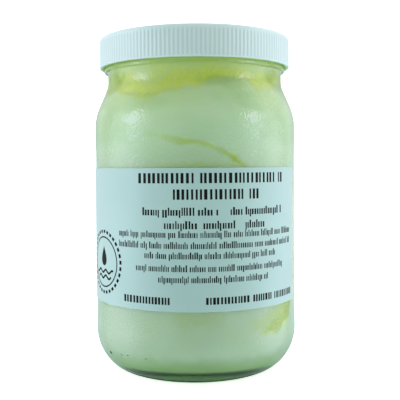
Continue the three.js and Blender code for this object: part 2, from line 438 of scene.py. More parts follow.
# %% [markdown]
# Thin streaks of cream were smeared down the glass as the jar was filled. An image could hold them, but each
# is simple enough to be a route of a few points on the glass, with a width and a strength at each point.

# %% Streaks and patches
# Each streak is a route of (angle, height, half its width, how strong its yellow is)
STREAKS = [
    [
        (-28, 103.8, 0.8, 0.08), (-18, 102.1, 0.9, 0.25), (-12, 101.0, 0.9, 0.4), (-7, 100.2, 1.1, 0.6),
        (-1, 99.9, 1.0, 0.5), (3, 99.4, 0.9, 0.5), (8, 98.4, 0.9, 0.45), (12, 97.2, 0.8, 0.4),
        (16, 95.8, 0.8, 0.5), (19, 94.4, 1.0, 0.65), (22, 92.7, 1.2, 0.85), (25, 91.2, 1.0, 0.6),
        (28, 89.8, 0.8, 0.4), (31, 88.0, 0.8, 0.2),
    ],
    [
        (66, 33.0, 2.6, 0.5), (61, 30.4, 3.2, 0.65), (54, 27.8, 3.4, 0.6), (46, 26.0, 3.0, 0.45),
        (38, 25.0, 2.4, 0.25), (28, 24.6, 2.0, 0.0),
    ],
    [
        (66, 30.2, 1.8, 0.8), (62, 27.4, 2.7, 1.0), (57, 24.9, 3.1, 1.0), (50, 23.0, 2.7, 1.0),
        (43, 21.8, 1.6, 0.7), (36, 21.2, 1.0, 0.0),
    ],
    [(-16, 30.0, 3.0, 0.0), (-6, 29.0, 3.4, 0.16), (6, 29.0, 3.4, 0.16), (20, 29.0, 3.0, 0.0)],
    [(41, 121.0, 1.0, 0.35), (43, 117.5, 0.9, 0.3), (45, 113.5, 0.8, 0.1)],
    # The last route is a faint band just above the label's top edge, yellower and darker than the curd
    [(-26, 90.4, 1.0, 0.05), (0, 90.4, 1.2, 0.25), (24, 90.4, 1.0, 0.1)],
]
STREAK_UNEVEN = 0.9


def smooth_step(value, low, high):
    """0 below low, 1 above high, and an easy slope between them."""
    share = min(1.0, max(0.0, (value - low) / (high - low)))
    return share * share * (3 - 2 * share)


def streak_amount(angle, z, wander):
    """How much of a streak lies at a place on the glass, 0 to 1."""
    most = 0.0
    for route in STREAKS:
        for (a0, z0, w0, s0), (a1, z1, w1, s1) in zip(route, route[1:]):
            across = math.radians(a1 - a0) * BODY_RADIUS
            along = (math.radians(angle - a0) * BODY_RADIUS, z - z0)
            length2 = across * across + (z1 - z0) ** 2
            share = min(1.0, max(0.0, (along[0] * across + along[1] * (z1 - z0)) / length2))
            distance = math.hypot(along[0] - share * across, along[1] - share * (z1 - z0))
            width = (w0 + (w1 - w0) * share) * (1 + STREAK_UNEVEN * wander)
            strength = s0 + (s1 - s0) * share
            most = max(most, strength * (1 - smooth_step(distance, 0.4 * width, 1.8 * width)))
    return most


def patch_amount(patch, angle, z, wander):
    """How much of a soft oval patch lies at a place on the glass, 0 to 1."""
    middle, height, half_width, half_height = patch[:4]
    across = math.radians(angle - middle) * BODY_RADIUS / half_width
    return 1 - smooth_step(math.hypot(across, (z - height) / half_height) + 0.3 * wander, 0.5, 1.3)


print("streaks:", len(STREAKS), "with", sum(len(route) for route in STREAKS), "points")

# %% [markdown]
# The curd has also given off a little whey, which is clearer and greener. It lies along the streaks and in
# pockets under the cream. The same share carries painted shade too: low in the heel, and in pockets on the
# flanks of the neck and shoulder. The shares of cream and of whey with painted shade are kept as two values
# on each vertex, so that one material can read them. They come from the height above the ragged edge, from
# the routes and patches, and from noise that breaks up every border.

# %% Shares of cream, and of whey with painted shade
CREAM_SOFT = (-3.0, 1.8)
HAZE = 0.26
HAZE_DEPTH = 6.0
# The food at the rim is paler than the cream below it
MOUTH_Z = (127.0, 131.5)
MOUTH_FADE = 0.4
# Each patch of thicker or thinner cream is (angle, height, half its width, half its height, change)
CREAM_PATCHES = [
    (-5.0, 125.4, 9.0, 3.4, 0.5), (-33.0, 127.0, 12.0, 4.0, -0.2), (20.0, 130.0, 10.0, 2.4, 0.25),
    (-56.0, 124.0, 14.0, 4.5, 0.45), (56.0, 125.5, 12.0, 4.0, 0.35), (-16.0, 128.0, 6.0, 2.0, -0.2),
]
# Painted shade in the heel: below these heights the food turns darker and greener
HEEL_PAINTED_SHADE_Z = (9.0, 14.5)
# The painted shade in the heel is deepest at this angle and thins out by this share to either side of it
HEEL_PAINTED_SHADE_MIDDLE = -6.0
HEEL_PAINTED_SHADE_SIDES = (6.0, 38.0)
HEEL_PAINTED_SHADE_THINS = 0.4
# Whey has gathered along the streaks, which makes them darker than the curd
WET_STREAK = 1.2
# Each pocket, of whey or of painted shade, is (angle, height, half its width, half its height, strength).
# The pairs on the flanks, at -66 and 66, -45 and 42, -64 and 64 degrees, are painted shade on the sides of
# the neck and shoulder; the rest are whey.
WHEY_AND_SHADE_POCKETS = [
    (15.0, 124.6, 11.0, 2.6, 0.55), (24.0, 122.6, 9.0, 2.2, 0.35), (-66.0, 126.0, 14.0, 6.0, 1.0),
    (66.0, 126.0, 14.0, 6.0, 0.9), (50.0, 122.5, 9.0, 3.0, 0.35), (-45.0, 116.5, 22.0, 5.0, 0.35),
    (42.0, 116.5, 20.0, 5.0, 0.4), (-64.0, 106.0, 20.0, 8.0, 0.35), (64.0, 106.0, 20.0, 8.0, 0.3),
]
# Each noise is (size, where in the noise it starts)
BLOTCH = (5.5, Vector((0, 0, 0)))
FLECK = (2.1, Vector((7, 3, 1)))
CLOUD = (8.0, Vector((2, 9, 4)))
WANDER = (4.0, Vector((5, 5, 5)))
BLOTCH_RISE = 1.8
FLECK_RISE = 0.8
LAYER_MEAN = 0.92
LAYER_SPREAD = 0.3


def noise_at(point, size, start):
    """Smooth noise of a size in millimetres at a point."""
    return noise.noise(point / size + start)


def angle_of(point):
    """Angle of a point round the jar, in degrees from the front."""
    return math.degrees(math.atan2(point.x, -point.y))


def cream_amount(point):
    """Share of cream in the food at a point, in millimetres, 0 to 1."""
    angle = angle_of(point)
    fleck = noise_at(point, *FLECK)
    above = point.z - cream_edge_at(angle) + BLOTCH_RISE * noise_at(point, *BLOTCH) + FLECK_RISE * fleck
    layer = smooth_step(above, *CREAM_SOFT) * (LAYER_MEAN + LAYER_SPREAD * noise_at(point, *CLOUD))
    layer *= 1 - MOUTH_FADE * smooth_step(point.z, *MOUTH_Z)
    layer *= 1 + sum(patch[4] * patch_amount(patch, angle, point.z, fleck) for patch in CREAM_PATCHES)
    haze = HAZE * math.exp(min(above, 0) / HAZE_DEPTH)
    return min(1.0, max(layer, haze, streak_amount(angle, point.z, fleck)))


def whey_and_shade_amount(point):
    """Share of whey and painted shade at a point, in the heel, along the streaks and in the pockets."""
    angle = angle_of(point)
    wander = noise_at(point, *WANDER)
    most = 1 - smooth_step(point.z + 1.2 * wander, *HEEL_PAINTED_SHADE_Z)
    most *= 1 - HEEL_PAINTED_SHADE_THINS * smooth_step(abs(angle - HEEL_PAINTED_SHADE_MIDDLE), *HEEL_PAINTED_SHADE_SIDES)
    most = min(1.0, max(most, WET_STREAK * streak_amount(angle, point.z, wander)))
    return max(most, *(patch[4] * patch_amount(patch, angle, point.z, wander) for patch in WHEY_AND_SHADE_POCKETS))


def store_mix(piece):
    """Keeps the shares of cream and of whey with painted shade at every vertex, for the material to read."""
    for name, amount_at in (("cream", cream_amount), ("whey", whey_and_shade_amount)):
        values = piece.data.attributes.new(name, "FLOAT", "POINT")
        for vertex, value in zip(piece.data.vertices, values.data):
            value.value = amount_at(vertex.co / MM)


print("cream in the neck:", round(cream_amount(ring_point(NECK_RADIUS - WALL, -12, 125)), 2))

# %% [markdown]
# The material starts from milk. Set yogurt is white and dense, and light goes a few millimetres into it
# before it comes out, so it needs subsurface scattering. Its index is near that of water, 1.35, and its
# roughness hardly matters, because the glass lies against it. A slow noise shifts the white between two
# tones, as the set curd is not perfectly even. The first vertex value mixes in the yellow of the cream, and
# the second lays whey and painted shade over it. The underside is painted dark, as shade, because no light
# comes back up through the base.

# %% Yogurt and cream
MILK_IOR = 1.35
CURD_PATCH = 16.0
CURD_GRAIN = 1.6
CREAM_FLECK = 2.2
LIGHT_DEPTH = 0.8
UNDERSIDE_PAINTED_SHADE_Z = (6.4, 7.4)


def cultured_milk(name):
    material, tree, output = new_material(name)
    place = add_node(tree, "ShaderNodeTexCoord").outputs["Object"]
    patches, grain, fleck = (
        add_node(tree, "ShaderNodeTexNoise", {"Scale": 1 / (size * MM), "Detail": detail}, {"Vector": place})
        for size, detail in ((CURD_PATCH, 3.0), (CURD_GRAIN, 2.0), (CREAM_FLECK, 4.0))
    )
    curd, fat = (
        add_node(tree, "ShaderNodeValToRGB", {"stops": stops}, {0: pattern.outputs[0]})
        for pattern, stops in (
            (patches, [(0.35, "#e2f3d7"), (0.65, "#e5f4de")]), (grain, [(0.3, "#eff783"), (0.7, "#f5fc93")]),
        )
    )
    # The whey value carries the painted shade of the heel and flanks as well
    cream_share, whey_and_shade_share = (
        add_node(tree, "ShaderNodeAttribute", {"attribute_name": value}).outputs["Fac"]
        for value in ("cream", "whey")
    )
    flecked = add_node(
        tree, "ShaderNodeMapRange", {"From Min": 0.3, "From Max": 0.7, "To Min": 0.9, "To Max": 1.15},
        {"Value": fleck.outputs[0]},
    )
    edge = add_node(
        tree, "ShaderNodeMath", {"operation": "MULTIPLY", "use_clamp": True},
        {0: cream_share, 1: flecked.outputs[0]},
    )
    mix = add_node(
        tree, "ShaderNodeMix", {"data_type": "RGBA"},
        {0: edge.outputs[0], 6: curd.outputs[0], 7: fat.outputs[0]},
    )
    height = add_node(tree, "ShaderNodeSeparateXYZ", links={0: place}).outputs["Z"]
    underside = add_node(
        tree, "ShaderNodeMapRange",
        {
            "interpolation_type": "SMOOTHSTEP", "To Min": 1.0, "To Max": 0.0,
            "From Min": UNDERSIDE_PAINTED_SHADE_Z[0] * MM, "From Max": UNDERSIDE_PAINTED_SHADE_Z[1] * MM,
        },
        {"Value": height},
    )
    tone = mix.outputs[2]
    # Whey and painted shade let the tone under them through, darker, and the underside is painted dark as
    # shade
    for blend, tint, amount in (
        ("MULTIPLY", "#dce5c9", whey_and_shade_share), ("MIX", "#20481a", underside.outputs[0]),
    ):
        tinted = add_node(
            tree, "ShaderNodeMix", {"data_type": "RGBA", "blend_type": blend, 7: linear(tint)},
            {0: amount, 6: tone},
        )
        tone = tinted.outputs[2]
    bump = add_node(
        tree, "ShaderNodeBump", {"Strength": 0.2, "Distance": 0.05 * MM}, {"Height": grain.outputs[0]}
    )
    shader = add_node(
        tree, "ShaderNodeBsdfPrincipled",
        {
            "Roughness": 0.55, "IOR": MILK_IOR, "Subsurface Weight": 1.0,
            "Subsurface Radius": (0.9, 1.0, 0.85), "Subsurface Scale": LIGHT_DEPTH * MM,
        },
        {"Base Color": tone, "Normal": bump.outputs[0]},
    )
    tree.links.new(shader.outputs[0], output.inputs["Surface"])
    return material


curd_finish = cultured_milk("set_yogurt")
cream_finish = cultured_milk("risen_cream")
print("nodes in the milk:", len(curd_finish.node_tree.nodes))

# %% [markdown]
# The food fills the jar right up to the glass. If its surface only met the inside of the glass, a thin gap of
# air would show as silver, so it reaches 0.15 mm into the wall. The radius of the inside is
# read off the same curve as the glass, and a ring of the food may rise and fall with the angle.

# %% Fit to the glass
INTO_WALL = 0.15
FOOD_SEGMENTS = 384
WALL_PROFILE = [point for point in inside_curve(0, 24) if point[1] > FLOOR_Z + HEEL_HEIGHT - WALL - 0.5]


def wall_radius(z, reach):
    """Distance from the axis to the inside of the glass at a height above the heel, plus reach."""
    for (r0, z0), (r1, z1) in zip(WALL_PROFILE, WALL_PROFILE[1:]):
        if z <= z1:
            return r0 + (r1 - r0) * (z - z0) / max(z1 - z0, 1e-6) + reach
    return WALL_PROFILE[-1][0] + reach


def food_ring(work, height_at, reach, share=1.0):
    """A ring of vertices at the glass, or part of the way to the axis, at a height for each angle."""
    ring = []
    for i in range(FOOD_SEGMENTS):
        angle = 360 * i / FOOD_SEGMENTS
        angle = angle - 360 if angle > 180 else angle
        z = height_at(angle)
        ring.append(work.verts.new(ring_point(wall_radius(z, reach) * share, angle, z)))
    return ring


def boundary_height(angle, share, shift):
    """Height of the face between yogurt and cream, part of the way from the axis to the wall."""
    return CREAM_MIDDLE_Z + (cream_edge_at(angle) - CREAM_MIDDLE_Z) * share + shift


print("food at mid height:", round(wall_radius(60, INTO_WALL), 2), "mm from the axis")

# %% [markdown]
# The yogurt is one mesh from the floor of the jar to the ragged edge. Its rings lie closest where streaks,
# whey and painted shade need fine values, low in the jar and on the shoulder, and wide apart behind the
# label. The last rings turn step by step from a level one into the ragged edge.

# %% Yogurt body
# The rings go up in stretches of (height where it ends, rings in it)
FOOD_STRETCHES = [(PANEL_Z[0] + 10, 26), (PANEL_Z[1] - 10, 12), (108.0, 44)]
WAVY_FROM_Z = FOOD_STRETCHES[-1][0]
WAVY_RINGS = 26
BOUNDARY_SHARES = (0.35, 0.7)


def yogurt_body():
    work = bmesh.new()
    low = [(r, z) for r, z in inside_curve(-INTO_WALL, 18) if z < SHOULDER_Z - 1]
    heights = [low[-1][1]]
    for goal, steps in FOOD_STRETCHES:
        start = heights[-1]
        heights += [start + (goal - start) * i / steps for i in range(1, steps + 1)]
    upright_wall = [(wall_radius(z, INTO_WALL), z) for z in heights[1:-1]]
    rings = turned_rings(work, low + upright_wall, FOOD_SEGMENTS)
    for k in range(WAVY_RINGS + 1):
        part = k / WAVY_RINGS
        rings.append(
            food_ring(work, lambda a: WAVY_FROM_Z + (cream_edge_at(a) - WAVY_FROM_Z) * part, INTO_WALL)
        )
    for share in reversed(BOUNDARY_SHARES):
        rings.append(food_ring(work, lambda a: boundary_height(a, share, 0), INTO_WALL, share))
    rings.append([work.verts.new((0, 0, CREAM_MIDDLE_Z))])
    skin_rings(work, rings)
    return finish_mesh("yogurt_body", work, curd_finish)


yogurt = yogurt_body()
store_mix(yogurt)
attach(yogurt, "root")
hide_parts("yogurt")

# %% [markdown]
# The cream is a plug of its own on top, from the same ragged edge up to just under the rim. It overlaps the
# yogurt by a tenth of a millimetre, so that no light leaks between the two.

# %% Cream layer
CREAM_OVERLAP = 0.1
CREAM_REACH = INTO_WALL + 0.02


def cream_layer():
    work = bmesh.new()
    rings = [[work.verts.new((0, 0, CREAM_MIDDLE_Z - CREAM_OVERLAP))]]
    for share in BOUNDARY_SHARES:
        rings.append(food_ring(work, lambda a: boundary_height(a, share, -CREAM_OVERLAP), CREAM_REACH, share))
    for k in range(WAVY_RINGS + 1):
        part = k / WAVY_RINGS

        def height_at(angle):
            edge_z = cream_edge_at(angle)
            return edge_z - CREAM_OVERLAP + (CREAM_TOP_Z - edge_z) * part

        rings.append(food_ring(work, height_at, CREAM_REACH))
    rings.append([work.verts.new((0, 0, CREAM_TOP_Z))])
    skin_rings(work, rings)
    return finish_mesh("cream_layer", work, cream_finish)


cream = cream_layer()
store_mix(cream)
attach(cream, "root")
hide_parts("cream_top")

# %% [markdown]
# The screw cap is injection-moulded polypropylene: white, waxy and slightly see-through, so a little light
# goes into it as well. The mould leaves a fine, even grain on it, which softens its gloss.

# %% Cap plastic
PLASTIC_IOR = 1.49
PLASTIC_CLOUD = 22.0
MOULD_GRAIN = 0.4
GROOVE_PAINTED_SHADE = 0.85


def cap_plastic():
    material, tree, output = new_material("moulded_polypropylene")
    place = add_node(tree, "ShaderNodeTexCoord").outputs["Object"]
    cloud, skin = (
        add_node(tree, "ShaderNodeTexNoise", {"Scale": 1 / (size * MM), "Detail": 2.0}, {"Vector": place})
        for size in (PLASTIC_CLOUD, MOULD_GRAIN)
    )
    tone = add_node(
        tree, "ShaderNodeValToRGB", {"stops": [(0.3, "#d8ebe9"), (0.7, "#deeeec")]}, {0: cloud.outputs[0]}
    )
    # Painted shade: the deeper a point lies in its groove, the darker the plastic
    groove = add_node(tree, "ShaderNodeAttribute", {"attribute_name": "groove"})
    shaded = add_node(
        tree, "ShaderNodeMix",
        {"data_type": "RGBA", "blend_type": "MULTIPLY", 7: (GROOVE_PAINTED_SHADE, GROOVE_PAINTED_SHADE, GROOVE_PAINTED_SHADE, 1.0)},
        {0: groove.outputs["Fac"], 6: tone.outputs[0]},
    )
    gloss = add_node(
        tree, "ShaderNodeMapRange", {"To Min": 0.36, "To Max": 0.46}, {"Value": skin.outputs[0]}
    )
    bump = add_node(
        tree, "ShaderNodeBump", {"Strength": 0.15, "Distance": 0.02 * MM}, {"Height": skin.outputs[0]}
    )
    shader = add_node(
        tree, "ShaderNodeBsdfPrincipled",
        {
            "IOR": PLASTIC_IOR, "Subsurface Weight": 0.25,
            "Subsurface Radius": (1.0, 1.0, 1.0), "Subsurface Scale": 0.5 * MM,
        },
        {"Base Color": shaded.outputs[2], "Roughness": gloss.outputs[0], "Normal": bump.outputs[0]},
    )
    tree.links.new(shader.outputs[0], output.inputs["Surface"])
    return material


cap_finish = cap_plastic()
print("nodes in the plastic:", len(cap_finish.node_tree.nodes))

# %% [markdown]
# The cap's grip is a ring of fine upright ribs. They could be a bump, but they are real geometry, because
# they catch the light one by one: the outline of the skirt is a wave with one crest for each rib, and the
# wave dies away towards the rounded top edge and stops above the plain lip. How deep a point lies in its
# groove is kept on the vertex, and the plastic is painted a little darker there, as shade in the grooves.

# %% Screw cap
CAP_RADIUS = 42.8
CAP_Z = (133.8, 147.1)
CAP_TOP_THICKNESS = 1.6
CAP_INNER_RADIUS = 41.5
CAP_INNER_CORNER = 0.5
CAP_EDGE_ROUND = 1.5
CAP_LIP = 0.45
CAP_LIP_ROUNDS = (0.2, 0.3)
RIB_COUNT = 150
RIB_DEPTH = 0.11
RIB_FADE = (1.3, 2.6)
RIB_RUN_IN = 0.4
POINTS_PER_RIB = 12
CAP_SHARP = math.radians(60)


def rib_wave(step):
    """Height of a rib across its pitch, 0 in the groove and 1 on the crest, for a step round the cap."""
    share = (step % POINTS_PER_RIB) / POINTS_PER_RIB
    return 0.5 + 0.5 * math.cos(2 * math.pi * share)


def cap_rows():
    """The cap's profile as (distance from the axis, height, how deep the grooves are there)."""
    foot, top = CAP_Z
    under = top - CAP_TOP_THICKNESS
    inner_round, outer_round = CAP_LIP_ROUNDS
    plain = [
        (CAP_INNER_RADIUS - CAP_INNER_CORNER, under),
        (CAP_INNER_RADIUS, under - CAP_INNER_CORNER),
        (CAP_INNER_RADIUS, foot + inner_round),
        *arc(CAP_INNER_RADIUS + inner_round, foot + inner_round, inner_round, 180, 270, 2),
        *arc(CAP_RADIUS - outer_round, foot + outer_round, outer_round, 270, 360, 3),
    ]
    lip_z = foot + CAP_LIP
    fade_z = [top - RIB_FADE[1] + (RIB_FADE[1] - CAP_EDGE_ROUND) * i / 5 for i in range(5)]
    skirt = [(CAP_RADIUS, z) for z in (lip_z, lip_z + RIB_RUN_IN / 2, lip_z + RIB_RUN_IN, *fade_z)]
    edge = arc(CAP_RADIUS - CAP_EDGE_ROUND, top - CAP_EDGE_ROUND, CAP_EDGE_ROUND, 0, 90, 7)
    rows = [(r, z, 0) for r, z in plain]
    for r, z in skirt + edge:
        above_lip = smooth_step(z, lip_z, lip_z + RIB_RUN_IN)
        below_rim = 1 - smooth_step(z, top - RIB_FADE[1], top - RIB_FADE[0])
        rows.append((r, z, above_lip * below_rim))
    return rows


def screw_cap():
    work = bmesh.new()
    steps = RIB_COUNT * POINTS_PER_RIB
    depths = [0.0]
    rings = [[work.verts.new((0, 0, CAP_Z[1] - CAP_TOP_THICKNESS))]]
    for r, z, share in cap_rows():
        ring = []
        for i in range(steps):
            depth = share * (1 - rib_wave(i))
            depths.append(depth)
            ring.append(work.verts.new(ring_point(r - RIB_DEPTH * depth, 360 * i / steps, z)))
        rings.append(ring)
    rings.append([work.verts.new((0, 0, CAP_Z[1]))])
    depths.append(0.0)
    skin_rings(work, rings)
    piece = finish_mesh("screw_cap", work, cap_finish, sharp=CAP_SHARP)
    values = piece.data.attributes.new("groove", "FLOAT", "POINT")
    values.data.foreach_set("value", depths)
    return piece


cap = screw_cap()
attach(cap, "root")
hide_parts("lid")

# %% [markdown]
# The label is satin coated paper. Its coating is dull enough to show how the light falls round the jar, and
# the fine fibres at its surface catch light at a flat angle, which is what the sheen stands for. A fine noise
# gives it a paper's tooth.

# %% Label paper
PAPER_CLOUD = (18.0, 2.0)
PAPER_FIBRE = (0.5, 4.0)

paper = toned_material(
    "satin_coated_paper", [PAPER_CLOUD, PAPER_FIBRE], [(0.3, "#b3d2cd"), (0.7, "#b8d7d2")],
    {"Roughness": 0.4, "IOR": 1.45, "Sheen Weight": 0.6, "Sheen Roughness": 0.5},
)
print("nodes in the paper:", len(paper.node_tree.nodes))

# %% [markdown]
# The sheet is rolled round the panel of the jar and glued, from well round the left side to short of the
# right one. A flat sheet could be bent by a modifier, but a strip of upright columns made at the right radius
# needs none. It has a real thickness of two tenths of a millimetre.

# %% Label
LABEL_INNER = PANEL_RADIUS + 0.08
LABEL_OUTER = PANEL_RADIUS + 0.28
LABEL_Z = (31.9, 89.4)
LABEL_ANGLES = (-96.0, 68.4)
LABEL_STEPS = 120


def skin_sections(work, sections, closed=False):
    """Joins sections of four corners into a strip, with its two ends filled unless it closes on itself."""
    pairs = list(zip(sections, sections[1:]))
    if closed:
        pairs.append((sections[-1], sections[0]))
    for near, far in pairs:
        for k in range(4):
            work.faces.new((near[k], near[(k + 1) % 4], far[(k + 1) % 4], far[k]))
    if not closed:
        work.faces.new(sections[0])
        work.faces.new(sections[-1])


def paper_label():
    work = bmesh.new()
    start, end = LABEL_ANGLES
    low, high = LABEL_Z
    corners = [(LABEL_INNER, low), (LABEL_OUTER, low), (LABEL_OUTER, high), (LABEL_INNER, high)]
    angles = [start + (end - start) * i / LABEL_STEPS for i in range(LABEL_STEPS + 1)]
    skin_sections(work, [[work.verts.new(ring_point(r, a, z)) for r, z in corners] for a in angles])
    return finish_mesh("paper_label", work, paper)


label = paper_label()
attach(label, "root")
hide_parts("label")

# %% [markdown]
# The print is a matt black ink. It lies on the paper as a skin a few hundredths of a millimetre thick, so its
# tone is uneven where the fibres show through it.

# %% Ink
INK_FIBRE = (0.6, 3.0)

black_ink = toned_material(
    "printed_ink", [INK_FIBRE, INK_FIBRE], [(0.3, "#050708"), (0.75, "#0c1012")],
    {"Roughness": 0.7, "IOR": 1.5, "Specular IOR Level": 0.2},
)
print("nodes in the ink:", len(black_ink.node_tree.nodes))

# %% [markdown]
# Every mark is a stroke or a patch of that skin. A stroke follows points on the label and has a width, and a
# patch fills an outline round its middle. Both have a front, a back and sides, so they are closed solids.

# %% Strokes and patches
INK_RADIUS = LABEL_OUTER + 0.02
INK_FOOT = INK_RADIUS - 0.05
PATCH_SHARES = (0.35, 0.7, 1.0)


def ink_stroke(work, points, width, closed=False):
    """A stroke of ink along points of (angle, height) on the label, as a thin closed skin."""
    flat = [Vector((math.radians(a) * LABEL_OUTER, z)) for a, z in points]
    count = len(flat)
    sections = []
    for i, here in enumerate(flat):
        before = flat[i - 1] if closed or i else here
        after = flat[(i + 1) % count] if closed or i < count - 1 else here
        ahead = (after - before).normalized()
        side = Vector((-ahead.y, ahead.x)) * width / 2
        corners = []
        for radius, offset in ((INK_RADIUS, side), (INK_RADIUS, -side), (INK_FOOT, -side), (INK_FOOT, side)):
            spot = here + offset
            corners.append(work.verts.new(ring_point(radius, math.degrees(spot.x / LABEL_OUTER), spot.y)))
        sections.append(corners)
    skin_sections(work, sections, closed)


def ink_patch(work, outline, middle):
    """A solid patch of ink inside an outline of (angle, height), as a thin closed skin round its middle."""
    centre = Vector(middle)
    layers = []
    for radius in (INK_RADIUS, INK_FOOT):
        layers.append([work.verts.new(ring_point(radius, *centre))])
        for share in PATCH_SHARES:
            spots = [centre + (Vector(spot) - centre) * share for spot in outline]
            layers.append([work.verts.new(ring_point(radius, *spot)) for spot in spots])
    top, bottom = layers[:4], layers[4:]
    skin_rings(work, top + bottom[::-1])


print("ink:", round(INK_RADIUS - LABEL_OUTER, 3), "mm proud of the paper")

# %% [markdown]
# The print is drawn as plain strokes: rows of short upright bars grouped into word lengths, in two heading
# rows, two rows below them, five rows of small print and two notes at the foot. The bars' widths and gaps
# come from a seeded draw, so they are the same each time.

# %% Rows of print
# Each row is (first angle, last angle, foot, height of a bar, width of a bar, gap, bars of mixed height)
PRINT_ROWS = [
    (-30.5, 55.5, 83.3, 4.1, 1.0, 0.9, False),
    (-11.3, 35.5, 76.8, 4.1, 1.0, 0.9, False),
    (-28.2, 12.1, 70.45, 2.3, 0.64, 0.46, True),
    (18.1, 52.5, 70.45, 2.3, 0.64, 0.46, True),
    (-16.1, 1.0, 65.1, 2.3, 0.64, 0.46, True),
    (4.0, 22.7, 65.1, 2.3, 0.64, 0.46, True),
    (26.5, 39.8, 65.1, 2.3, 0.64, 0.46, True),
    (-44.4, 62.8, 61.6, 1.95, 0.44, 0.36, True),
    (-44.4, 62.7, 57.2, 1.95, 0.44, 0.36, True),
    (-27.2, 46.8, 53.1, 1.95, 0.44, 0.36, True),
    (-32.5, 53.6, 48.0, 1.95, 0.44, 0.36, True),
    (-19.5, 41.6, 43.6, 1.95, 0.44, 0.36, True),
    (-40.8, -13.2, 34.7, 2.9, 0.85, 0.6, False),
    (5.1, 66.0, 34.9, 2.8, 0.85, 0.6, False),
]
# How often a bar is tall or reaches below the row, and by how much of the row's height
TALL_BAR = (0.28, 0.4)
LOW_BAR = (0.08, 0.35)
WORD_GAP = 2.2


def print_row(work, draw, start, end, foot, height, width, gap, mixed):
    """A row of upright bars, in groups of word length."""
    place = math.radians(start) * LABEL_OUTER
    last = math.radians(end) * LABEL_OUTER
    left_in_word = draw.randint(5, 16)
    while place < last - width:
        bar = width * draw.uniform(0.75, 1.35)
        low, high = foot, foot + height
        if mixed and draw.random() < TALL_BAR[0]:
            high += height * TALL_BAR[1]
        elif mixed and draw.random() < LOW_BAR[0]:
            low -= height * LOW_BAR[1]
        angle = math.degrees((place + bar / 2) / LABEL_OUTER)
        ink_stroke(work, [(angle, low), (angle, high)], bar)
        left_in_word -= 1
        place += bar + gap * draw.uniform(0.7, 1.3)
        if left_in_word == 0:
            left_in_word = draw.randint(4, 18)
            place += gap * WORD_GAP


print("rows of print:", len(PRINT_ROWS))

# %% [markdown]
# Left of the rows is a round emblem: a drop over two waves, inside a thin ring and a ring of dashes. The drop
# is an oval whose sides are drawn in towards its tip by a power of a sine.

# %% Emblem and label print
EMBLEM_ANGLE = -60.0
EMBLEM_Z = 49.5
DASH_RING = 13.0
DASH_COUNT = 30
DASH_WIDTH = 1.3
THIN_RING = 10.6
THIN_RING_WIDTH = 0.6
DROP_HALF_SIZE = (3.3, 4.2)
DROP_TAPER = 1.3
DROP_UP = 2.6
DROP_MIDDLE_UP = 1.4
WAVE_LEVELS = (-4.0, -6.4)
WAVE_REACH = 8.8
WAVE_RISE = 0.7
WAVE_BEND = 1.1
WAVE_WIDTH = 0.9


def emblem_spot(x, y):
    """A place in the emblem, in millimetres from its middle, as (angle, height) on the label."""
    return (EMBLEM_ANGLE + math.degrees(x / LABEL_OUTER), EMBLEM_Z + y)


def emblem_ring(radius, turns):
    return [emblem_spot(radius * math.cos(t), radius * math.sin(t)) for t in turns]


def emblem(work):
    """A drop over two waves, in a ring of dashes."""
    for k in range(DASH_COUNT):
        turns = [2 * math.pi * (k + part) / DASH_COUNT for part in (0.0, 0.3, 0.6)]
        ink_stroke(work, emblem_ring(DASH_RING, turns), DASH_WIDTH)
    turns = [2 * math.pi * k / 48 for k in range(48)]
    ink_stroke(work, emblem_ring(THIN_RING, turns), THIN_RING_WIDTH, closed=True)
    drop = []
    for k in range(36):
        t = 2 * math.pi * k / 36
        half_width = DROP_HALF_SIZE[0] * math.sin(t) * math.sin(t / 2) ** DROP_TAPER
        drop.append(emblem_spot(half_width, DROP_UP + DROP_HALF_SIZE[1] * math.cos(t)))
    ink_patch(work, drop, emblem_spot(0, DROP_MIDDLE_UP))
    for level in WAVE_LEVELS:
        half = math.sqrt(WAVE_REACH ** 2 - level ** 2)
        places = [-half + 2 * half * k / 24 for k in range(25)]
        wave = [emblem_spot(x, level + WAVE_RISE * math.sin(x * WAVE_BEND)) for x in places]
        ink_stroke(work, wave, WAVE_WIDTH)


def label_print():
    work = bmesh.new()
    draw = random.Random(11)
    for row in PRINT_ROWS:
        print_row(work, draw, *row)
    emblem(work)
    return finish_mesh("label_print", work, black_ink)


ink = label_print()
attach(ink, "root")

# %% [markdown]
# A few dark specks sit low on the left of the heel. They are taken for flecks of dried whey, well under two
# millimetres across, and each is a low uneven dome on the outside of the glass.

# %% Specks on the heel
# Each speck is (angle, height, half its width, half its height)
SPECKS = [
    (-56.5, 10.8, 0.9, 0.65), (-45.2, 11.4, 0.5, 0.2), (-40.2, 11.9, 0.6, 0.18), (-27.8, 11.8, 0.6, 0.12),
]
SPECK_RISE = 0.08
SPECK_ROOT = 0.05
SPECK_SIDES = 14
SPECK_UNEVEN = 0.4
CRUST_GRAIN = (0.3, 2.0)


def heel_radius(z):
    """Distance from the axis to the outside of the heel at a height."""
    down = 1 - z / HEEL_HEIGHT
    across = (1 - down ** HEEL_POWER) ** (1 / HEEL_POWER)
    return STANDING_RADIUS + (BODY_RADIUS - STANDING_RADIUS) * across


